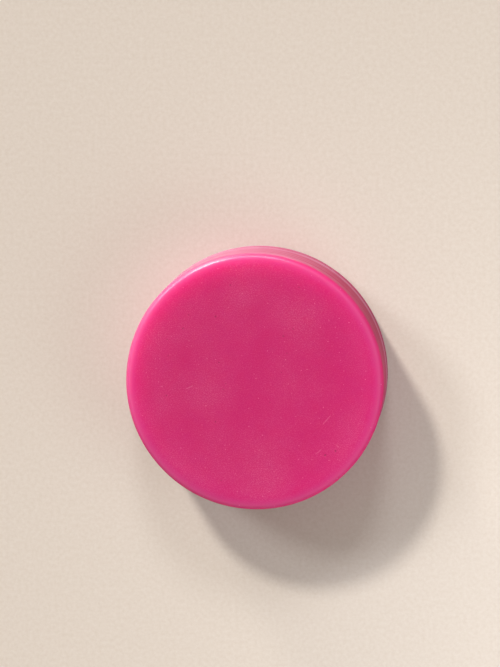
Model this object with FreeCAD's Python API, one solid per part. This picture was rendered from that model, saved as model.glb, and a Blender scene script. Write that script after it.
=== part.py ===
"""Round conditioner bar, poured in one piece and turned out of its mould.

The bar is lathe-shaped. It lies on its poured back, with its moulded front face up:
the axis is +Z and the origin is the centre of the back. All sizes are in millimetres.
"""

import FreeCAD, Part
import math
import os

# Driving dimensions
bar_diameter = 60.5  # across the widest circle, just above the back edge
bar_thickness = 19.1  # from the back to the front face
wall_draft_deg = 0.8  # the wall closes in towards the front, so the bar leaves its mould
front_edge_radius = 1.5  # round between the wall and the shoulder
shoulder_radius = 16.0  # soft roll from the flat face into that round
shoulder_turn_deg = 10.0  # how far the surface has turned where the shoulder ends
back_edge_radius = 0.8  # the poured side has a crisper edge

AXIS = FreeCAD.Vector(0, 0, 1)
ORIGIN = FreeCAD.Vector(0, 0, 0)


def point(radius, height):
    """A point of the half section, which lies in the XZ plane."""
    return FreeCAD.Vector(radius, 0, height)


def normal(turn_deg):
    """The outward direction of a surface turned this far from facing straight out."""
    turn = math.radians(turn_deg)
    return point(math.cos(turn), math.sin(turn))


def arc(centre, radius, start_deg, end_deg):
    """The arc about a centre between two outward directions."""
    turns = (start_deg, (start_deg + end_deg) / 2, end_deg)
    return Part.Arc(*(centre + normal(turn) * radius for turn in turns)).toShape()


def line(start, end):
    """A straight edge of the half section."""
    return Part.LineSegment(start, end).toShape()


def half_section():
    """The closed outline that is spun about the axis, every join tangent to the next."""
    back_centre = point(bar_diameter / 2 - back_edge_radius, back_edge_radius)

    # The shoulder starts level with the face and hands over to the front edge.
    face_to_edge_deg = 90 - shoulder_turn_deg
    centre_step = normal(face_to_edge_deg) * (shoulder_radius - front_edge_radius)
    front_height = bar_thickness - shoulder_radius + centre_step.z

    # Both edge rounds touch one sloping wall line, which sets how far out the front one sits.
    out = normal(wall_draft_deg)
    wall_distance = back_centre.dot(out) + back_edge_radius
    front_out = (wall_distance - front_edge_radius - front_height * out.z) / out.x
    front_centre = point(front_out, front_height)
    shoulder_centre = front_centre - centre_step

    face_rim = shoulder_centre + normal(90) * shoulder_radius
    back_rim = back_centre + normal(-90) * back_edge_radius
    wall_foot = back_centre + out * back_edge_radius
    wall_head = front_centre + out * front_edge_radius
    return [
        line(ORIGIN, back_rim),
        arc(back_centre, back_edge_radius, -90, wall_draft_deg),
        line(wall_foot, wall_head),
        arc(front_centre, front_edge_radius, wall_draft_deg, face_to_edge_deg),
        arc(shoulder_centre, shoulder_radius, face_to_edge_deg, 90),
        line(face_rim, point(0, bar_thickness)),
        line(point(0, bar_thickness), ORIGIN),
    ]


def conditioner_bar():
    """The whole bar: one solid of revolution."""
    outline = Part.Face(Part.Wire(half_section()))
    return outline.revolve(ORIGIN, AXIS, 360)


os.makedirs("parts", exist_ok=True)
bar = conditioner_bar()
bar.exportStep("parts/conditioner_bar.step")

size = bar.optimalBoundingBox()
print(f"bar {size.XLength:.2f} x {size.YLength:.2f} x {size.ZLength:.2f} mm, {bar.Volume / 1000:.1f} cm3")
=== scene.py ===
"""The looks of a round conditioner bar: the cast bar, the paper under it, lamps and camera."""

import logging
import math
import random
from dataclasses import dataclass, field
from enum import Enum
from typing import Any, Iterator, Sequence

import bmesh
import bpy
from mathutils import Matrix, Vector, noise


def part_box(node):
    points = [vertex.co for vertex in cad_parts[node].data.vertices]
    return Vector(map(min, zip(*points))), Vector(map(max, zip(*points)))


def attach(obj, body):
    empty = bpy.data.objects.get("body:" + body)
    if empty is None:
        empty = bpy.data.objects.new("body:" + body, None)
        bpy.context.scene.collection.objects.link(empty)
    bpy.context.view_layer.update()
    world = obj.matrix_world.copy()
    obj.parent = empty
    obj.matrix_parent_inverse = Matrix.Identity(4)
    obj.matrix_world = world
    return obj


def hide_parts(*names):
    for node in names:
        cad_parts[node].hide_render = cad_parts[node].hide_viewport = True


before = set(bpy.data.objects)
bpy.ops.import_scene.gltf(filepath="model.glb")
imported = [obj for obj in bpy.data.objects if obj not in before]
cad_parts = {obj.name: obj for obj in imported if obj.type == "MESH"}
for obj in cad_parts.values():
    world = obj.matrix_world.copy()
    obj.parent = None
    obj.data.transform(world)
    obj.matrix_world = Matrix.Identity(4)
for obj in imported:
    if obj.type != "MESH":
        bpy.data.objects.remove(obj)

MM = 0.001
NODE = "conditioner_bar"
BUBBLE_SEED = 7
WHITE = "#FFFFFF"
WARM_WHITE = "#FFF6E8"
LOG = logging.getLogger("conditioner_bar")

# the sRGB curve: its straight foot, and the power curve above that
SRGB_FOOT_END = 0.04045
SRGB_FOOT_SLOPE = 12.92
SRGB_OFFSET = 0.055
SRGB_POWER = 2.4

# the Mix node's sockets for two colours and for their mix, by number, as others share their names
MIX_FIRST, MIX_SECOND, MIXED = 6, 7, 2

Colour = tuple[float, float, float, float]
Span = tuple[float, float]


def linear(hex_colour: str) -> Colour:
    """Turns an sRGB hex colour to linear light.

    Args:
        hex_colour: six hex digits after a hash sign.

    Returns:
        Red, green and blue in linear light, and an alpha of 1.
    """
    channels = [int(hex_colour[i : i + 2], 16) / 255 for i in (1, 3, 5)]
    bright = [
        channel / SRGB_FOOT_SLOPE
        if channel <= SRGB_FOOT_END
        else ((channel + SRGB_OFFSET) / (1 + SRGB_OFFSET)) ** SRGB_POWER
        for channel in channels
    ]
    return (*bright, 1.0)


def per_metre(millimetres: float) -> float:
    """Returns the texture scale at which one feature of a pattern is this wide."""
    return 1 / (millimetres * MM)


def add_node(
    tree: bpy.types.NodeTree,
    kind: str,
    settings: dict[str, Any] | None = None,
    links: dict[str | int, Any] | None = None,
) -> bpy.types.Node:
    """Adds a node with its settings and links.

    Args:
        tree: the tree that gets the node.
        kind: the node's type name.
        settings: values by name, of a property of the node or else of an input socket.
        links: by input name or number, an output socket to join, or a plain value.

    Returns:
        The new node.
    """
    node = tree.nodes.new(kind)
    for name, value in (settings or {}).items():
        if hasattr(node, name):
            setattr(node, name, value)
        else:
            node.inputs[name].default_value = value
    for name, source in (links or {}).items():
        if isinstance(source, bpy.types.NodeSocket):
            tree.links.new(source, node.inputs[name])
        else:
            node.inputs[name].default_value = source
    return node


class Zone(Enum):
    """The stretches of the bar's half section, from the middle of the back round to the face."""

    BACK = "back"
    BACK_EDGE = "back edge"
    WALL = "wall"
    FRONT_EDGE = "front edge"
    SHOULDER = "shoulder"
    FACE = "face"


class Mark(Enum):
    """The kinds of mark on the face, by the name of the mesh layer that says where they are."""

    PIT = "pit"
    SCUFF = "scuff"


@dataclass(frozen=True)
class Ring:
    """One circle of the lathed surface.

    Attributes:
        zone: the stretch of the section it is on.
        radius: how far out it lies.
        height: how far above the back.
        turn: the angle of its outward direction above level, in radians.
    """

    zone: Zone
    radius: float
    height: float
    turn: float


@dataclass(frozen=True)
class MouldLine:
    """A faint ridge round the wall, where the mould's own wall isn't quite smooth.

    Attributes:
        share: its place, as a share of the wall's height below the front edge.
        rise: how far it stands out of the groove each side.
        width: the distance over which it fades.
    """

    share: float
    rise: float
    width: float


@dataclass(frozen=True)
class Dent:
    """A small dent in the face: a pit where an air bubble met the mould, or a hairline scuff.

    Attributes:
        mark: which of the two it is.
        x: its middle, to the right of the bar's axis.
        y: its middle, up from the bar's axis.
        width: how wide it is.
        depth: how deep it is.
        length: how long its middle line is, or nothing for a round pit.
        bearing: the angle of that line from +X, in radians.
    """

    mark: Mark
    x: float
    y: float
    width: float
    depth: float
    length: float = 0.0
    bearing: float = 0.0

    def distance(self, spot: Vector) -> float:
        """Measures how far a spot lies from the dent's middle line, seen from above.

        Args:
            spot: a place on the face.

        Returns:
            The distance in metres.
        """
        across, up = spot.x - self.x, spot.y - self.y
        along = across * math.cos(self.bearing) + up * math.sin(self.bearing)
        aside = up * math.cos(self.bearing) - across * math.sin(self.bearing)
        return math.hypot(max(abs(along) - self.length / 2, 0.0), aside)

    def share_at(self, spot: Vector) -> float:
        """Returns how deep the dent is at a spot, as a share of its depth."""
        half_width = self.width / 2
        return math.exp(-((self.distance(spot) / half_width) ** 2))

    def nears(self, face: bmesh.types.BMFace) -> bool:
        """Returns whether a mesh face may lie in the dent."""
        side = face.calc_perimeter() / 4  # nearly every face has four sides
        return self.distance(face.calc_center_median()) < self.width + side


@dataclass(frozen=True)
class Whereabouts:
    """Where on the bar a shaded spot is, as sockets of the material's nodes.

    Attributes:
        place: the spot in the bar's own space.
        height: how far it is above the back.
        out: how far it is from the bar's axis.
        powdery: 0 on the face, 1 from the front edge down.
        matt: 0 on the face and the upper half of the front edge, 1 on the wall and the back.
        on_wall: 0 on the face and the front edge, 1 on the wall and the back.
    """

    place: bpy.types.NodeSocket
    height: bpy.types.NodeSocket
    out: bpy.types.NodeSocket
    powdery: bpy.types.NodeSocket
    matt: bpy.types.NodeSocket
    on_wall: bpy.types.NodeSocket


@dataclass(frozen=True)
class CastConditioner:
    """Cast solid conditioner: fatty alcohol and wax with a magenta dyestuff, poured into a smooth
    mould.

    It gives the eye a deep, even pink that light soaks into by millimetres, red the furthest, so
    the edges glow; the colour is also painted paler near the rim as painted glow, and deeper at the
    very edge and darker on the wall as painted shade. The skin is satin, under a powdery bloom of
    wax grains that lies in patches on the face and in fine streaks round the wall; the wall's bloom
    is pale partly as painted sheen. The wall has been handled, so it is matt, and its bloom is
    painted thicker on the side the lamps come from and thinner across from it, as painted light and
    shade.

    Attributes:
        dye_with_painted_glow_and_shade: its colour, by the share of the way from the axis to the
            widest circle, painted paler near the rim as painted glow and deeper at the very edge as
            painted shade.
        wall_dye_with_painted_shade: its colour on the wall and the back, painted darker than the
            face as painted shade.
        wax: the pale colour of the bloom and the specks.
        powder_fade: heights above the wall's top between which the wall's bloom colour and the
            painted highlight at the rim come in.
        matt_fade: heights above the wall's top between which its roughness comes in.
        wall_fade: heights above the wall's top between which its colour comes in.
        patch_mm: how wide the patches of haze on the face are.
        patch_detail: how many finer layers their pattern has.
        patch_raggedness: how much each of those adds.
        patch_limits: the noise levels between which a patch goes from thin to thick.
        patch_bloom: the share of wax that shows in a thin and in a thick patch.
        grain_mm: how wide the wax grains are drawn.
        grain_detail: how many finer layers their pattern has.
        grain_limits: the noise levels between which a grain goes from nothing to full.
        grain_bloom: the share of wax that a full grain adds where the haze is thick.
        grain_thinning: what is left of that where the haze is thin.
        bloom_fades: the distances out between which the face's bloom thins.
        bloom_at_rim: what is left of it at the rim.
        powder_and_painted_sheen: the colour of the bloom on the wall, pale partly as painted sheen.
        painted_light_bearing: the side the lamps come from, where the bloom is painted thickest as
            painted light, in radians.
        painted_light_reach: how far towards that side the painted light goes on thickening the
            bloom.
        painted_light_cover: the share of bloom across from that side, below 0 as painted shade, and
            right on it.
        streak_mm: how far apart the streaks round the wall are.
        streak_stretch: how much their pattern is shrunk along them, which draws it out.
        streak_detail: how many finer layers it has.
        streak_raggedness: how much each of those adds.
        streak_limits: the noise levels between which a streak goes from nothing to full.
        streak_cover: the share of powder that a full streak adds.
        rub_height: how far above the back the wall is rubbed pale.
        rub_width: the distance over which that fades.
        rub_stray: how far the streaks pull it up and down.
        rub_cover: the share of powder in its middle.
        speck_gap_mm: how far apart the specks of unmelted wax are.
        speck_radius: how wide they are, as a share of that.
        speck_core: the part of that radius that is quite pale.
        speck_rarity: how few specks are quite pale on the face, as a power.
        speck_on_wall: the share of wax that one shows on the wall, under the powder.
        pit_painted_shade: painted shade down in a pit, where the light gets lost.
        pit_shade_cover: how much of that painted shade shows.
        scuff_cover: how much wax shows in a scuff.
        roughness: how rough the face is, and the wall.
        ior: how strongly it bends light.
        specular_level: how strongly the wax skin shines.
        scatter: how far red, green and blue go in, against each other.
        scatter_depth: how far the furthest goes.
        texture_strength: how much of the finest relief shows.
        texture_depth: how deep the finest relief is.
    """

    # painted glow: paler and brighter from 0.90 to 0.97 of the way out; painted shade: deeper from
    # 0.98 out
    dye_with_painted_glow_and_shade: Sequence[tuple[float, str]] = (
        (0.00, "#C91C75"),
        (0.60, "#CA1A75"),
        (0.80, "#CC1678"),
        (0.90, "#D01C7D"),
        (0.93, "#D23388"),
        (0.96, "#D44E8E"),
        (0.97, "#D23A86"),
        (0.98, "#CE0870"),
        (1.00, "#C60860"),
    )
    # darker than the face, as painted shade on the wall and the back
    wall_dye_with_painted_shade: str = "#A41350"
    wax: str = "#F0A2C2"
    powder_fade: Span = (1.4 * MM, 0.85 * MM)
    matt_fade: Span = (1.0 * MM, 0.3 * MM)
    wall_fade: Span = (0.7 * MM, -0.1 * MM)
    patch_mm: float = 13.0
    patch_detail: float = 3.0
    patch_raggedness: float = 0.5
    patch_limits: Span = (0.35, 0.68)
    patch_bloom: Span = (0.0, 0.045)
    # real grains are some hundredths of a millimetre, too fine to show, so they are drawn coarser
    grain_mm: float = 0.21
    grain_detail: float = 0.0
    grain_limits: Span = (0.42, 0.85)
    grain_bloom: float = 0.28
    grain_thinning: float = 0.5
    bloom_fades: Span = (26.0 * MM, 29.5 * MM)
    bloom_at_rim: float = 0.15
    # pale partly as painted sheen of the wall's grazing gloss
    powder_and_painted_sheen: str = "#C084A4"
    # the lamps' side, where the bloom is painted thicker as painted light and thinner across from
    # it as painted shade
    painted_light_bearing: float = math.radians(135.0)
    painted_light_reach: float = 29.0 * MM
    painted_light_cover: Span = (-0.18, 0.36)
    streak_mm: float = 1.3
    streak_stretch: float = 0.045
    streak_detail: float = 2.0
    streak_raggedness: float = 0.6
    streak_limits: Span = (0.35, 0.65)
    streak_cover: float = 0.42
    rub_height: float = 5.0 * MM
    rub_width: float = 1.7 * MM
    rub_stray: float = 8.0 * MM
    rub_cover: float = 0.72
    speck_gap_mm: float = 1.1
    speck_radius: float = 0.13
    speck_core: float = 0.4
    speck_rarity: float = 2.0
    speck_on_wall: float = 0.08
    # painted shade in the pits
    pit_painted_shade: str = "#800438"
    pit_shade_cover: float = 0.75
    scuff_cover: float = 0.3
    roughness: Span = (0.28, 0.8)
    ior: float = 1.45
    specular_level: float = 0.75
    scatter: tuple[float, float, float] = (1.0, 0.5, 0.7)
    scatter_depth: float = 12.0 * MM
    texture_strength: float = 0.2
    texture_depth: float = 0.04 * MM

    def build(self, widest: float, wall_top: float) -> bpy.types.Material:
        """Makes the material.

        Args:
            widest: the bar's widest radius.
            wall_top: the height where the wall meets the round of the front edge.

        Returns:
            The material.
        """
        material = bpy.data.materials.new("cast_conditioner")
        material.use_nodes = True
        tree = material.node_tree
        tree.nodes.clear()
        where = self.whereabouts(tree, wall_top)
        grain = self.grain(tree, where.place)
        streaks = self.streaks(tree, where.place)
        body = self.body(tree, where, widest)
        hazed = self.hazed(tree, where, body, self.bloom(tree, where, grain), streaks)
        specked = self.specked(tree, where, hazed)
        smooth, matt = self.roughness
        roughness = add_node(
            tree, "ShaderNodeMapRange", {"To Min": smooth, "To Max": matt}, {"Value": where.matt}
        )
        surface = add_node(
            tree,
            "ShaderNodeBsdfPrincipled",
            {
                "subsurface_method": "RANDOM_WALK",
                "Subsurface Weight": 1.0,
                "Subsurface Radius": self.scatter,
                "Subsurface Scale": self.scatter_depth,
                "IOR": self.ior,
                "Specular IOR Level": self.specular_level,
            },
            {
                "Base Color": self.marked(tree, specked),
                "Roughness": roughness.outputs["Result"],
                "Normal": self.texture(tree, where.on_wall, grain, streaks),
            },
        )
        add_node(tree, "ShaderNodeOutputMaterial", None, {"Surface": surface.outputs["BSDF"]})
        return material

    def whereabouts(self, tree: bpy.types.NodeTree, wall_top: float) -> Whereabouts:
        """Works out where a spot is on the bar.

        Args:
            tree: the material's nodes.
            wall_top: the height where the wall meets the round of the front edge.

        Returns:
            The sockets that say so.
        """
        place = add_node(tree, "ShaderNodeTexCoord").outputs["Object"]
        height = add_node(tree, "ShaderNodeSeparateXYZ", None, {"Vector": place}).outputs["Z"]
        flatten = (1, 1, 0)
        level = add_node(
            tree, "ShaderNodeVectorMath", {"operation": "MULTIPLY"}, {0: place, 1: flatten}
        )
        out = add_node(tree, "ShaderNodeVectorMath", {"operation": "LENGTH"}, {0: level.outputs[0]})
        powdery, matt, on_wall = [
            add_node(
                tree,
                "ShaderNodeMapRange",
                {"From Min": wall_top + start, "From Max": wall_top + end},
                {"Value": height},
            ).outputs["Result"]
            for start, end in (self.powder_fade, self.matt_fade, self.wall_fade)
        ]
        return Whereabouts(place, height, out.outputs["Value"], powdery, matt, on_wall)

    def grain(self, tree: bpy.types.NodeTree, place: bpy.types.NodeSocket) -> bpy.types.NodeSocket:
        """Scatters the wax grains: mostly nothing, with sparse bright ones.

        Args:
            tree: the material's nodes.
            place: the spot in the bar's own space.

        Returns:
            How much of a grain is at the spot.
        """
        pattern = add_node(
            tree,
            "ShaderNodeTexNoise",
            {"Scale": per_metre(self.grain_mm), "Detail": self.grain_detail},
            {"Vector": place},
        )
        low, high = self.grain_limits
        grains = add_node(
            tree,
            "ShaderNodeMapRange",
            {"From Min": low, "From Max": high},
            {"Value": pattern.outputs["Fac"]},
        )
        return grains.outputs["Result"]

    def streaks(
        self, tree: bpy.types.NodeTree, place: bpy.types.NodeSocket
    ) -> bpy.types.NodeSocket:
        """Draws the fine streaks that run round the wall.

        Args:
            tree: the material's nodes.
            place: the spot in the bar's own space.

        Returns:
            The level of their pattern.
        """
        stretch = (self.streak_stretch, self.streak_stretch, 1)
        drawn_out = add_node(
            tree, "ShaderNodeVectorMath", {"operation": "MULTIPLY"}, {0: place, 1: stretch}
        )
        lines = add_node(
            tree,
            "ShaderNodeTexNoise",
            {
                "Scale": per_metre(self.streak_mm),
                "Detail": self.streak_detail,
                "Roughness": self.streak_raggedness,
            },
            {"Vector": drawn_out.outputs[0]},
        )
        return lines.outputs["Fac"]

    def bloom(
        self, tree: bpy.types.NodeTree, where: Whereabouts, grain: bpy.types.NodeSocket
    ) -> bpy.types.NodeSocket:
        """Lays the bloom on the face: patches of haze, grainy, and thin towards the rim.

        Args:
            tree: the material's nodes.
            where: where the spot is.
            grain: how much of a wax grain is there.

        Returns:
            The share of wax that shows.
        """
        patches = add_node(
            tree,
            "ShaderNodeTexNoise",
            {
                "Scale": per_metre(self.patch_mm),
                "Detail": self.patch_detail,
                "Roughness": self.patch_raggedness,
            },
            {"Vector": where.place},
        )
        low, high = self.patch_limits
        thin, thick = self.patch_bloom
        patch = add_node(
            tree,
            "ShaderNodeMapRange",
            {"From Min": low, "From Max": high, "To Min": thin, "To Max": thick},
            {"Value": patches.outputs["Fac"]},
        )
        # the grains lie closer where the haze is thick
        grain_gain = add_node(
            tree,
            "ShaderNodeMapRange",
            {
                "From Max": thick,
                "To Min": self.grain_thinning * self.grain_bloom,
                "To Max": self.grain_bloom,
            },
            {"Value": patch.outputs["Result"]},
        )
        cover = add_node(
            tree,
            "ShaderNodeMath",
            {"operation": "MULTIPLY_ADD"},
            {0: grain, 1: grain_gain.outputs["Result"], 2: patch.outputs["Result"]},
        )
        fade_start, fade_end = self.bloom_fades
        kept = add_node(
            tree,
            "ShaderNodeMapRange",
            {
                "interpolation_type": "SMOOTHSTEP",
                "From Min": fade_start,
                "From Max": fade_end,
                "To Min": 1.0,
                "To Max": self.bloom_at_rim,
            },
            {"Value": where.out},
        )
        share = add_node(
            tree,
            "ShaderNodeMath",
            {"operation": "MULTIPLY"},
            {0: cover.outputs[0], 1: kept.outputs["Result"]},
        )
        return share.outputs[0]

    def body(
        self, tree: bpy.types.NodeTree, where: Whereabouts, widest: float
    ) -> bpy.types.NodeSocket:
        """Dyes the bar through, painted paler near the rim as painted glow and darker at the very
        edge and on the wall as painted shade.

        Args:
            tree: the material's nodes.
            where: where the spot is.
            widest: the bar's widest radius.

        Returns:
            The colour under the bloom, with that painted glow and shade.
        """
        share = add_node(tree, "ShaderNodeMath", {"operation": "DIVIDE"}, {0: where.out, 1: widest})
        # the ramp's paler band near the rim is painted glow, its deeper outer edge painted shade
        ramp = add_node(tree, "ShaderNodeValToRGB", None, {"Fac": share.outputs[0]})
        stops = ramp.color_ramp.elements
        stops.remove(stops[0])
        for position, colour in self.dye_with_painted_glow_and_shade[:-1]:
            stops.new(position).color = linear(colour)
        stops[-1].color = linear(self.dye_with_painted_glow_and_shade[-1][1])
        # the wall's darker colour is painted shade
        dye_and_painted_light = add_node(
            tree,
            "ShaderNodeMix",
            {"data_type": "RGBA"},
            {
                "Factor": where.on_wall,
                MIX_FIRST: ramp.outputs["Color"],
                MIX_SECOND: linear(self.wall_dye_with_painted_shade),
            },
        )
        return dye_and_painted_light.outputs[MIXED]

    def painted_light_and_shade(self, tree: bpy.types.NodeTree, where: Whereabouts) -> bpy.types.NodeSocket:
        """Paints the bloom thicker on the side the lamps come from, as painted light.

        Args:
            tree: the material's nodes.
            where: where the spot is.

        Returns:
            The share of bloom, which is below 0 on the far side, where it also thins the streaks as
            painted shade.
        """
        # painted light and shade: the bloom's share rises towards the lamps' side and falls below 0
        # across from it
        up = (math.cos(self.painted_light_bearing), math.sin(self.painted_light_bearing), 0)
        facing = add_node(
            tree, "ShaderNodeVectorMath", {"operation": "DOT_PRODUCT"}, {0: where.place, 1: up}
        )
        thin, thick = self.painted_light_cover
        share = add_node(
            tree,
            "ShaderNodeMapRange",
            {"From Max": self.painted_light_reach, "To Min": thin, "To Max": thick},
            {"Value": facing.outputs["Value"]},
        )
        return share.outputs["Result"]

    def rubbed(
        self, tree: bpy.types.NodeTree, where: Whereabouts, streaks: bpy.types.NodeSocket
    ) -> bpy.types.NodeSocket:
        """Rubs a pale, ragged line round the wall, where the bar is held.

        Args:
            tree: the material's nodes.
            where: where the spot is.
            streaks: the level of the streaks' pattern.

        Returns:
            The share of powder in the line.
        """
        strayed = add_node(
            tree,
            "ShaderNodeMath",
            {"operation": "MULTIPLY_ADD"},
            {0: streaks, 1: self.rub_stray, 2: where.height},
        )
        middle = self.rub_height + self.rub_stray / 2
        away = add_node(
            tree, "ShaderNodeMath", {"operation": "SUBTRACT"}, {0: strayed.outputs[0], 1: middle}
        )
        apart = add_node(tree, "ShaderNodeMath", {"operation": "ABSOLUTE"}, {0: away.outputs[0]})
        share = add_node(
            tree,
            "ShaderNodeMapRange",
            {
                "interpolation_type": "SMOOTHSTEP",
                "From Min": self.rub_width,
                "From Max": 0.0,
                "To Max": self.rub_cover,
            },
            {"Value": apart.outputs[0]},
        )
        return share.outputs["Result"]

    def wall_bloom(
        self,
        tree: bpy.types.NodeTree,
        where: Whereabouts,
        painted_light_and_shade: bpy.types.NodeSocket,
        streaks: bpy.types.NodeSocket,
    ) -> bpy.types.NodeSocket:
        """Lays the bloom on the wall: in streaks, painted thicker on the lamps' side as painted
        light, and the rubbed line.

        Args:
            tree: the material's nodes.
            where: where the spot is.
            painted_light_and_shade: the share of bloom painted there as painted light and shade.
            streaks: the level of the streaks' pattern.

        Returns:
            The share of powder that shows.
        """
        low, high = self.streak_limits
        streaked = add_node(
            tree, "ShaderNodeMapRange", {"From Min": low, "From Max": high}, {"Value": streaks}
        )
        dusted = add_node(
            tree,
            "ShaderNodeMath",
            {"operation": "MULTIPLY_ADD", "use_clamp": True},
            {0: streaked.outputs["Result"], 1: self.streak_cover, 2: painted_light_and_shade},
        )
        share = add_node(
            tree,
            "ShaderNodeMath",
            {"operation": "MAXIMUM"},
            {0: dusted.outputs[0], 1: self.rubbed(tree, where, streaks)},
        )
        return share.outputs[0]

    def hazed(
        self,
        tree: bpy.types.NodeTree,
        where: Whereabouts,
        body: bpy.types.NodeSocket,
        bloom: bpy.types.NodeSocket,
        streaks: bpy.types.NodeSocket,
    ) -> bpy.types.NodeSocket:
        """Puts the bloom over the bar's colour, painted paler on the lamps' side of the rim and the
        wall.

        Args:
            tree: the material's nodes.
            where: where the spot is.
            body: the bar's colour, with its painted glow and shade.
            bloom: the share of wax on the face.
            streaks: the level of the streaks' pattern.

        Returns:
            The colour with the bloom on it.
        """
        painted_light_and_shade = self.painted_light_and_shade(tree, where)
        # on the outer round of the front edge, the bloom is painted paler on the lamps' side as a
        # painted highlight
        painted_highlight_at_rim = add_node(
            tree, "ShaderNodeMath", {"operation": "MULTIPLY"}, {0: painted_light_and_shade, 1: where.powdery}
        )
        on_face = add_node(
            tree, "ShaderNodeMath", {"operation": "MAXIMUM"}, {0: bloom, 1: painted_highlight_at_rim.outputs[0]}
        )
        on_wall = self.wall_bloom(tree, where, painted_light_and_shade, streaks)
        share = add_node(
            tree,
            "ShaderNodeMix",
            None,
            {"Factor": where.on_wall, "A": on_face.outputs[0], "B": on_wall},
        )
        over = add_node(
            tree,
            "ShaderNodeMix",
            {"data_type": "RGBA"},
            {
                "Factor": where.powdery,
                MIX_FIRST: linear(self.wax),
                MIX_SECOND: linear(self.powder_and_painted_sheen),
            },
        )
        colour = add_node(
            tree,
            "ShaderNodeMix",
            {"data_type": "RGBA"},
            {"Factor": share.outputs[0], MIX_FIRST: body, MIX_SECOND: over.outputs[MIXED]},
        )
        return colour.outputs[MIXED]

    def specked(
        self, tree: bpy.types.NodeTree, where: Whereabouts, colour: bpy.types.NodeSocket
    ) -> bpy.types.NodeSocket:
        """Strews the specks of wax that never quite melted.

        Args:
            tree: the material's nodes.
            where: where the spot is.
            colour: the colour without them.

        Returns:
            The colour with them.
        """
        cells = add_node(
            tree,
            "ShaderNodeTexVoronoi",
            {"Scale": per_metre(self.speck_gap_mm)},
            {"Vector": where.place},
        )
        pallor = add_node(
            tree,
            "ShaderNodeMath",
            {"operation": "POWER"},
            {0: cells.outputs["Color"], 1: self.speck_rarity},
        )
        most = add_node(
            tree,
            "ShaderNodeMix",
            None,
            {"Factor": where.on_wall, "A": pallor.outputs[0], "B": self.speck_on_wall},
        )
        speck = add_node(
            tree,
            "ShaderNodeMapRange",
            {
                "From Min": self.speck_radius,
                "From Max": self.speck_core * self.speck_radius,
            },
            {"Value": cells.outputs["Distance"], "To Max": most.outputs[0]},
        )
        specked = add_node(
            tree,
            "ShaderNodeMix",
            {"data_type": "RGBA"},
            {
                "Factor": speck.outputs["Result"],
                MIX_FIRST: colour,
                MIX_SECOND: linear(self.wax),
            },
        )
        return specked.outputs[MIXED]

    def marked(
        self, tree: bpy.types.NodeTree, colour: bpy.types.NodeSocket
    ) -> bpy.types.NodeSocket:
        """Paints shade into the pits and pales the scuffs.

        Args:
            tree: the material's nodes.
            colour: the colour without them.

        Returns:
            The colour with them.
        """
        # the pits' dark colour is painted shade; the scuffs' pale wax is the bar's own
        for mark, mark_colour, cover in (
            (Mark.PIT, self.pit_painted_shade, self.pit_shade_cover),
            (Mark.SCUFF, self.wax, self.scuff_cover),
        ):
            depth = add_node(
                tree,
                "ShaderNodeAttribute",
                {"attribute_type": "GEOMETRY", "attribute_name": mark.value},
            )
            share = add_node(
                tree,
                "ShaderNodeMath",
                {"operation": "MULTIPLY"},
                {0: depth.outputs["Fac"], 1: cover},
            )
            mixed = add_node(
                tree,
                "ShaderNodeMix",
                {"data_type": "RGBA"},
                {
                    "Factor": share.outputs[0],
                    MIX_FIRST: colour,
                    MIX_SECOND: linear(mark_colour),
                },
            )
            colour = mixed.outputs[MIXED]
        return colour

    def texture(
        self,
        tree: bpy.types.NodeTree,
        on_wall: bpy.types.NodeSocket,
        grain: bpy.types.NodeSocket,
        streaks: bpy.types.NodeSocket,
    ) -> bpy.types.NodeSocket:
        """Gives the surface what is too fine for the mesh: grains on the face, streaks on the wall.

        Args:
            tree: the material's nodes.
            on_wall: 0 on the face, 1 on the wall.
            grain: how much of a wax grain is there.
            streaks: the level of the streaks' pattern.

        Returns:
            The normal.
        """
        height = add_node(
            tree, "ShaderNodeMix", None, {"Factor": on_wall, "A": grain, "B": streaks}
        )
        bump = add_node(
            tree,
            "ShaderNodeBump",
            {"Strength": self.texture_strength, "Distance": self.texture_depth},
            {"Height": height.outputs[0]},
        )
        return bump.outputs["Normal"]


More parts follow.
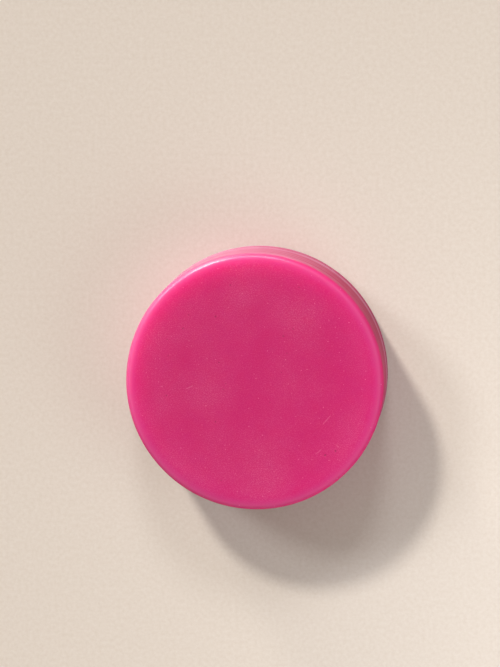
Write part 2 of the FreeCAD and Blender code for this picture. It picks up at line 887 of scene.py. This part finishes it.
@dataclass
class ConditionerBar:
    """The bar: one casting, spun about its axis, lying on its poured back with its face up.

    Attributes:
        low: lowest corner of the bar's box.
        high: highest corner of the bar's box.
        wall_draft: how far the wall leans in towards the front, in radians.
        front_edge: radius of the round between the wall and the shoulder.
        shoulder: radius of the soft roll from the face into that round.
        shoulder_turn: how far the surface has turned where the shoulder ends, in radians.
        back_edge: radius of the round between the back and the wall.
        segments: steps round the bar.
        steps: steps along each stretch of the half section.
        swell: how far the surface swells and sinks, as the wax shrank while it set.
        swell_mm: how wide those swells are.
        mould_lines: the faint ridges round the wall.
        waver: how far those stray up and down.
        waver_mm: how long their bends are.
        dents: the pits and scuffs of the face that stand out.
        face_margin: how far under the face's height the mesh may still be dented.
        refinings: how many times the mesh is made finer where a dent is.
        bubbles: how many more pits there are, too small to place one by one.
        bubble_widths: the width of the smallest of those, and of the widest.
        bubble_depth: how deep they are, as a share of their width.
        bubble_reach: how far out they lie at most, as a share of the widest radius.
        finish: what it is made of.
    """

    low: Vector
    high: Vector
    wall_draft: float = math.radians(0.8)
    front_edge: float = 1.5 * MM
    shoulder: float = 16.0 * MM
    shoulder_turn: float = math.radians(10.0)
    back_edge: float = 0.8 * MM
    segments: int = 384
    steps: dict[Zone, int] = field(
        default_factory=lambda: {
            Zone.BACK: 14,
            Zone.BACK_EDGE: 8,
            Zone.WALL: 56,
            Zone.FRONT_EDGE: 14,
            Zone.SHOULDER: 6,
            Zone.FACE: 40,
        }
    )
    swell: float = 0.02 * MM
    swell_mm: float = 14.0
    mould_lines: Sequence[MouldLine] = (
        MouldLine(0.45, 0.012 * MM, 0.5 * MM),
        MouldLine(0.62, 0.030 * MM, 0.7 * MM),
        MouldLine(0.82, 0.015 * MM, 0.4 * MM),
    )
    waver: float = 0.25 * MM
    waver_mm: float = 9.0
    dents: Sequence[Dent] = (
        Dent(Mark.PIT, 18.9 * MM, -15.7 * MM, 0.36 * MM, 0.12 * MM),
        Dent(Mark.PIT, 16.5 * MM, -16.7 * MM, 0.30 * MM, 0.10 * MM, 0.2 * MM, math.radians(30)),
        Dent(Mark.PIT, 6.8 * MM, 10.9 * MM, 0.30 * MM, 0.06 * MM),
        Dent(Mark.PIT, -8.9 * MM, 15.3 * MM, 0.34 * MM, 0.10 * MM),
        Dent(Mark.SCUFF, 17.3 * MM, 14.7 * MM, 0.22 * MM, 0.05 * MM, 0.3 * MM, math.radians(-60)),
        Dent(Mark.SCUFF, 16.9 * MM, -8.4 * MM, 0.18 * MM, 0.04 * MM, 2.4 * MM, math.radians(50)),
        Dent(Mark.SCUFF, 15.0 * MM, -15.9 * MM, 0.18 * MM, 0.04 * MM, 1.6 * MM, math.radians(40)),
        Dent(Mark.SCUFF, 19.4 * MM, -14.5 * MM, 0.18 * MM, 0.04 * MM, 0.7 * MM, math.radians(-45)),
        Dent(Mark.SCUFF, -14.9 * MM, -1.2 * MM, 0.20 * MM, 0.04 * MM, 1.4 * MM, math.radians(25)),
    )
    face_margin: float = 0.1 * MM
    refinings: int = 3
    bubbles: int = 18
    bubble_widths: Span = (0.16 * MM, 0.28 * MM)
    bubble_depth: float = 0.2
    bubble_reach: float = 0.9
    finish: CastConditioner = field(default_factory=CastConditioner)

    @property
    def thickness(self) -> float:
        """The height from the back to the face."""
        return self.high.z - self.low.z

    @property
    def widest(self) -> float:
        """The radius of the widest circle."""
        return (self.high.x - self.low.x) / 2

    def rings(self) -> Iterator[Ring]:
        """Works out the circles of the surface, from the back up, without the two centres.

        Returns:
            The circles, one by one.
        """
        draft = self.wall_draft
        level_turn = math.pi / 2
        meet_turn = level_turn - self.shoulder_turn
        back_out, back_up = self.widest - self.back_edge, self.back_edge
        step = self.shoulder - self.front_edge
        front_up = self.thickness - self.shoulder + step * math.sin(meet_turn)
        reach = back_out * math.cos(draft) + back_up * math.sin(draft) + self.back_edge
        front_out = (reach - self.front_edge - front_up * math.sin(draft)) / math.cos(draft)
        shoulder_out = front_out - step * math.cos(meet_turn)
        shoulder_up = front_up - step * math.sin(meet_turn)
        foot_out = back_out + self.back_edge * math.cos(draft)
        foot_up = back_up + self.back_edge * math.sin(draft)
        head_up = front_up + self.front_edge * math.sin(draft)

        yield from self.flat(Zone.BACK, 0.0, back_out, 0.0)
        yield from self.round(
            Zone.BACK_EDGE, back_out, back_up, self.back_edge, (-level_turn, draft)
        )
        yield from self.wall(foot_out, foot_up, head_up)
        yield from self.round(
            Zone.FRONT_EDGE, front_out, front_up, self.front_edge, (draft, meet_turn)
        )
        yield from self.round(
            Zone.SHOULDER, shoulder_out, shoulder_up, self.shoulder, (meet_turn, level_turn)
        )
        yield from self.flat(Zone.FACE, shoulder_out, 0.0, self.thickness)

    def flat(self, zone: Zone, start: float, end: float, height: float) -> Iterator[Ring]:
        """Steps over a level stretch, without its start and without the middle of the bar.

        Args:
            zone: which stretch it is.
            start: the radius where it starts.
            end: the radius where it ends.
            height: how high it lies.

        Returns:
            The rings, one by one.
        """
        turn = -math.pi / 2 if zone is Zone.BACK else math.pi / 2
        steps = self.steps[zone]
        for i in range(1, steps + 1):
            radius = start + (end - start) * i / steps
            if radius > 0:
                yield Ring(zone, radius, height, turn)

    def round(
        self, zone: Zone, out: float, up: float, radius: float, turns: Span
    ) -> Iterator[Ring]:
        """Steps round an arc, without its start.

        Args:
            zone: which stretch it is.
            out: how far out the arc's centre lies.
            up: how high it lies.
            radius: the arc's radius.
            turns: the angles above level at which it starts and ends, in radians.

        Returns:
            The rings, one by one.
        """
        start, end = turns
        steps = self.steps[zone]
        for i in range(1, steps + 1):
            turn = start + (end - start) * i / steps
            yield Ring(zone, out + radius * math.cos(turn), up + radius * math.sin(turn), turn)

    def wall(self, foot_out: float, foot_up: float, head_up: float) -> Iterator[Ring]:
        """Steps up the wall, without its foot and its head.

        Args:
            foot_out: the radius of the wall's foot.
            foot_up: the height of its foot.
            head_up: the height of its head.

        Returns:
            The rings, one by one.
        """
        steps = self.steps[Zone.WALL]
        for i in range(1, steps):
            rise = (head_up - foot_up) * i / steps
            radius = foot_out - rise * math.tan(self.wall_draft)
            yield Ring(Zone.WALL, radius, foot_up + rise, self.wall_draft)

    def relief(self, ring: Ring, spot: Vector, head: float, foot: float) -> float:
        """Works out how far the real surface lies inside the true form.

        Args:
            ring: the circle that the spot is on.
            spot: its place on the true form.
            head: the height of the wall's head.
            foot: the height of its foot.

        Returns:
            The distance inwards in metres, which is never below 0.
        """
        depth = self.swell * (1 + noise.noise(spot * per_metre(self.swell_mm)))
        if ring.zone is Zone.WALL:
            stray = self.waver * noise.noise(spot * per_metre(self.waver_mm))
            for mould_line in self.mould_lines:
                centre = head - (head - foot) * mould_line.share + stray
                away = (ring.height - centre) / mould_line.width
                depth += mould_line.rise * (1 - math.exp(-away * away))
        return depth

    def scattered(self) -> Iterator[Dent]:
        """Strews the smallest pits over the face by chance.

        Returns:
            The pits, one by one.
        """
        chance = random.Random(BUBBLE_SEED)
        for _ in range(self.bubbles):
            out = self.widest * self.bubble_reach * math.sqrt(chance.random())
            bearing = 2 * math.pi * chance.random()
            width = chance.uniform(*self.bubble_widths)
            depth = self.bubble_depth * width
            yield Dent(Mark.PIT, out * math.cos(bearing), out * math.sin(bearing), width, depth)

    def press(self, mesh: bpy.types.Mesh, dents: Sequence[Dent]) -> None:
        """Presses the dents into the face, where the mesh is first made fine enough for them.

        Args:
            mesh: the bar's mesh, which also gets a layer for each kind of mark.
            dents: what to press in.
        """
        work = bmesh.new()
        work.from_mesh(mesh)
        face_height = self.thickness - self.face_margin
        for _ in range(self.refinings):
            on_top = [face for face in work.faces if face.calc_center_median().z > face_height]
            near = [face for face in on_top if any(dent.nears(face) for dent in dents)]
            edges = {edge for face in near for edge in face.edges}
            bmesh.ops.subdivide_edges(work, edges=list(edges), cuts=1, use_grid_fill=True)
        layers = {mark: work.verts.layers.float.new(mark.value) for mark in Mark}
        for vertex in work.verts:
            if vertex.co.z > face_height:
                shares = [(dent, dent.share_at(vertex.co)) for dent in dents]
                vertex.co.z -= sum(dent.depth * share for dent, share in shares)
                for mark, layer in layers.items():
                    vertex[layer] = max(share for dent, share in shares if dent.mark is mark)
        work.to_mesh(mesh)
        work.free()

    def build(self) -> bpy.types.Object:
        """Makes the bar as one closed mesh.

        Returns:
            The mesh object.
        """
        rings = list(self.rings())
        wall = [ring.height for ring in rings if ring.zone is Zone.WALL]
        vertices = [Vector((0, 0, self.low.z))]
        for ring in rings:
            lean = Vector((math.cos(ring.turn), 0, math.sin(ring.turn)))
            for i in range(self.segments):
                swing = Matrix.Rotation(2 * math.pi * i / self.segments, 3, "Z")
                spot = swing @ Vector((ring.radius, 0, ring.height))
                vertices.append(spot - swing @ lean * self.relief(ring, spot, max(wall), min(wall)))
        vertices.append(Vector((0, 0, self.high.z)))
        mesh = bpy.data.meshes.new("cast_bar")
        mesh.from_pydata(vertices, [], list(self.faces(len(rings))))
        self.press(mesh, [*self.dents, *self.scattered()])
        mesh.shade_smooth()
        piece = bpy.data.objects.new("cast_bar", mesh)
        bpy.context.scene.collection.objects.link(piece)
        return piece

    def faces(self, ring_count: int) -> Iterator[tuple[int, ...]]:
        """Joins the rings with faces, and closes the middles with two fans.

        Args:
            ring_count: how many rings there are.

        Returns:
            The numbers of each face's corners, face by face.
        """
        count = self.segments
        last = 1 + ring_count * count
        for i in range(count):
            j = (i + 1) % count
            yield (0, 1 + j, 1 + i)
            for k in range(ring_count - 1):
                row, above = 1 + k * count, 1 + (k + 1) * count
                yield (row + i, row + j, above + j, above + i)
            top = last - count
            yield (top + i, top + j, last)

    def dress(self, piece: bpy.types.Object) -> None:
        """Gives the bar its finish and its place in the frame.

        Args:
            piece: the bar's mesh object.
        """
        wall_top = self.thickness - self.front_edge
        piece.data.materials.append(self.finish.build(self.widest, wall_top))
        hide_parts(NODE)
        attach(piece, "root")


@dataclass(frozen=True)
class UncoatedPaper:
    """Uncoated paper, pressed without a glaze: pale warm beige, matt, with a faint fibre mottle.

    Attributes:
        sheet: its colour.
        fibre: the darker colour between its fibres.
        fibre_mm: how wide the mottle is.
        fibre_detail: how many finer layers it has.
        fibre_raggedness: how much each of those adds.
        roughness: how rough it is.
        specular_level: how little it shines.
    """

    sheet: str = "#E3DFDB"
    fibre: str = "#D1C9C1"
    # real fibres are some hundredths of a millimetre wide, too fine to show, so clumps are drawn
    fibre_mm: float = 0.9
    fibre_detail: float = 3.0
    fibre_raggedness: float = 0.6
    roughness: float = 0.9
    specular_level: float = 0.2

    def build(self) -> bpy.types.Material:
        """Makes the material.

        Returns:
            The material.
        """
        material = bpy.data.materials.new("uncoated_paper")
        material.use_nodes = True
        tree = material.node_tree
        tree.nodes.clear()
        place = add_node(tree, "ShaderNodeTexCoord").outputs["Object"]
        fibres = add_node(
            tree,
            "ShaderNodeTexNoise",
            {
                "Scale": per_metre(self.fibre_mm),
                "Detail": self.fibre_detail,
                "Roughness": self.fibre_raggedness,
            },
            {"Vector": place},
        )
        colour = add_node(
            tree,
            "ShaderNodeMix",
            {"data_type": "RGBA"},
            {
                "Factor": fibres.outputs["Fac"],
                MIX_FIRST: linear(self.sheet),
                MIX_SECOND: linear(self.fibre),
            },
        )
        surface = add_node(
            tree,
            "ShaderNodeBsdfPrincipled",
            {"Roughness": self.roughness, "Specular IOR Level": self.specular_level},
            {"Base Color": colour.outputs[MIXED]},
        )
        add_node(tree, "ShaderNodeOutputMaterial", None, {"Surface": surface.outputs["BSDF"]})
        return material


@dataclass(frozen=True)
class FarLamp:
    """A lamp so far away that its light is the same all over.

    Attributes:
        name: what it is for.
        towards: the direction in which it stands.
        strength: its light, where pi lights a white surface that faces it to white.
        spread: how wide it looks, in radians.
        tint: the colour of its light.
    """

    name: str
    towards: Vector
    strength: float
    spread: float
    tint: str = WHITE

    def hang(self) -> None:
        """Adds the lamp to the scene."""
        lamp = bpy.data.lights.new(self.name, "SUN")
        lamp.energy = self.strength
        lamp.angle = self.spread
        lamp.color = linear(self.tint)[:3]
        holder = bpy.data.objects.new(self.name, lamp)
        holder.rotation_euler = self.towards.to_track_quat("Z", "Y").to_euler()
        bpy.context.scene.collection.objects.link(holder)


@dataclass(frozen=True)
class SoftPanel:
    """A square panel close by, which lights but is not mirrored.

    Attributes:
        name: what it is for.
        place: where its middle is; it faces the origin.
        width: how wide it is.
        power: its light in watts.
    """

    name: str
    place: Vector
    width: float
    power: float

    def hang(self) -> None:
        """Adds the panel to the scene."""
        panel = bpy.data.lights.new(self.name, "AREA")
        panel.size = self.width
        panel.energy = self.power
        holder = bpy.data.objects.new(self.name, panel)
        holder.location = self.place
        holder.rotation_euler = self.place.to_track_quat("Z", "Y").to_euler()
        holder.visible_glossy = False
        bpy.context.scene.collection.objects.link(holder)


@dataclass
class Studio:
    """The paper, the lamps and the camera.

    Attributes:
        subject: the point of the bar that the camera is set out from.
        paper: what the bar lies on.
        paper_radius: how far the paper reaches.
        paper_sides: the corners of its outline.
        lamps: what lights it.
        room: the colour of the soft light all round.
        camera_azimuth: how far the camera stands towards +X, in radians.
        camera_tilt: how far it stands towards +Y, in radians.
        camera_distance: how far it is from the subject.
        camera_lens: its lens, as a focal length in millimetres.
        aim_right: how far to the right of the subject it aims.
        aim_up: how far above the subject it aims, in its own view.
    """

    subject: Vector
    paper: UncoatedPaper = field(default_factory=UncoatedPaper)
    paper_radius: float = 3.0
    paper_sides: int = 96
    lamps: Sequence[FarLamp | SoftPanel] = (
        FarLamp("key", Vector((-0.42, 0.710, 0.563)), 2.0, math.radians(6.0), WARM_WHITE),
        FarLamp("left", Vector((-0.66, 0.497, 0.563)), 0.85, math.radians(14.0)),
        FarLamp("right", Vector((0.0, 0.826, 0.563)), 0.7, math.radians(14.0)),
        FarLamp("low", Vector((-0.495, 0.857, 0.139)), 1.5, math.radians(10.0), WARM_WHITE),
        SoftPanel("fill", Vector((125, -70, 105)) * MM, 120.0 * MM, 0.09),
    )
    room: str = "#8E8074"
    camera_azimuth: float = math.radians(5.02)
    camera_tilt: float = math.radians(7.92)
    camera_distance: float = 587.4 * MM
    camera_lens: float = 135.0
    aim_right: float = -1.8 * MM
    aim_up: float = 10.2 * MM

    def lay_paper(self) -> None:
        """Lays the paper under the bar."""
        bpy.ops.mesh.primitive_circle_add(
            vertices=self.paper_sides,
            radius=self.paper_radius,
            fill_type="NGON",
            location=(0, 0, 0),
        )
        floor = bpy.context.object
        floor.name = "paper"
        floor.data.materials.append(self.paper.build())

    def hang_lamps(self) -> None:
        """Adds the lamps, and the soft light of the room round them."""
        for lamp in self.lamps:
            lamp.hang()
        world = bpy.data.worlds.new("room")
        bpy.context.scene.world = world
        world.use_nodes = True
        tree = world.node_tree
        tree.nodes.clear()
        light = add_node(tree, "ShaderNodeBackground", {"Color": linear(self.room)})
        add_node(tree, "ShaderNodeOutputWorld", None, {"Surface": light.outputs["Background"]})

    def place_camera(self) -> None:
        """Stands the camera over the bar, a little towards +X and +Y, with +Y up in its view."""
        away = Vector((
            math.sin(self.camera_azimuth) * math.cos(self.camera_tilt),
            math.sin(self.camera_tilt),
            math.cos(self.camera_azimuth) * math.cos(self.camera_tilt),
        ))
        place = self.subject + away * self.camera_distance
        right = Vector((0, 1, 0)).cross(away).normalized()
        up = away.cross(right)
        aim = self.subject + right * self.aim_right + up * self.aim_up
        back = (place - aim).normalized()
        right = Vector((0, 1, 0)).cross(back).normalized()
        turn = Matrix((right, back.cross(right), back)).transposed()
        lens = bpy.data.cameras.new("camera")
        lens.lens = self.camera_lens
        holder = bpy.data.objects.new("camera", lens)
        holder.matrix_world = Matrix.Translation(place) @ turn.to_4x4()
        bpy.context.scene.collection.objects.link(holder)
        bpy.context.scene.camera = holder

    def set_up(self) -> None:
        """Sets up the whole studio."""
        self.lay_paper()
        self.hang_lamps()
        self.place_camera()
        bpy.context.scene.view_settings.view_transform = "Standard"


def main() -> None:
    """Builds the bar and the studio, and logs the size of the bar's mesh."""
    logging.basicConfig(level=logging.INFO, format="%(message)s")
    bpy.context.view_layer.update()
    bar = ConditionerBar(*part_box(NODE))
    piece = bar.build()
    bar.dress(piece)
    mesh = piece.data
    LOG.info("%s: %d vertices, %d faces", piece.name, len(mesh.vertices), len(mesh.polygons))
    wall_middle = (bar.back_edge + bar.thickness - bar.front_edge) / 2
    Studio(Vector((0, 0, wall_middle))).set_up()


if __name__ == "__main__":
    main()
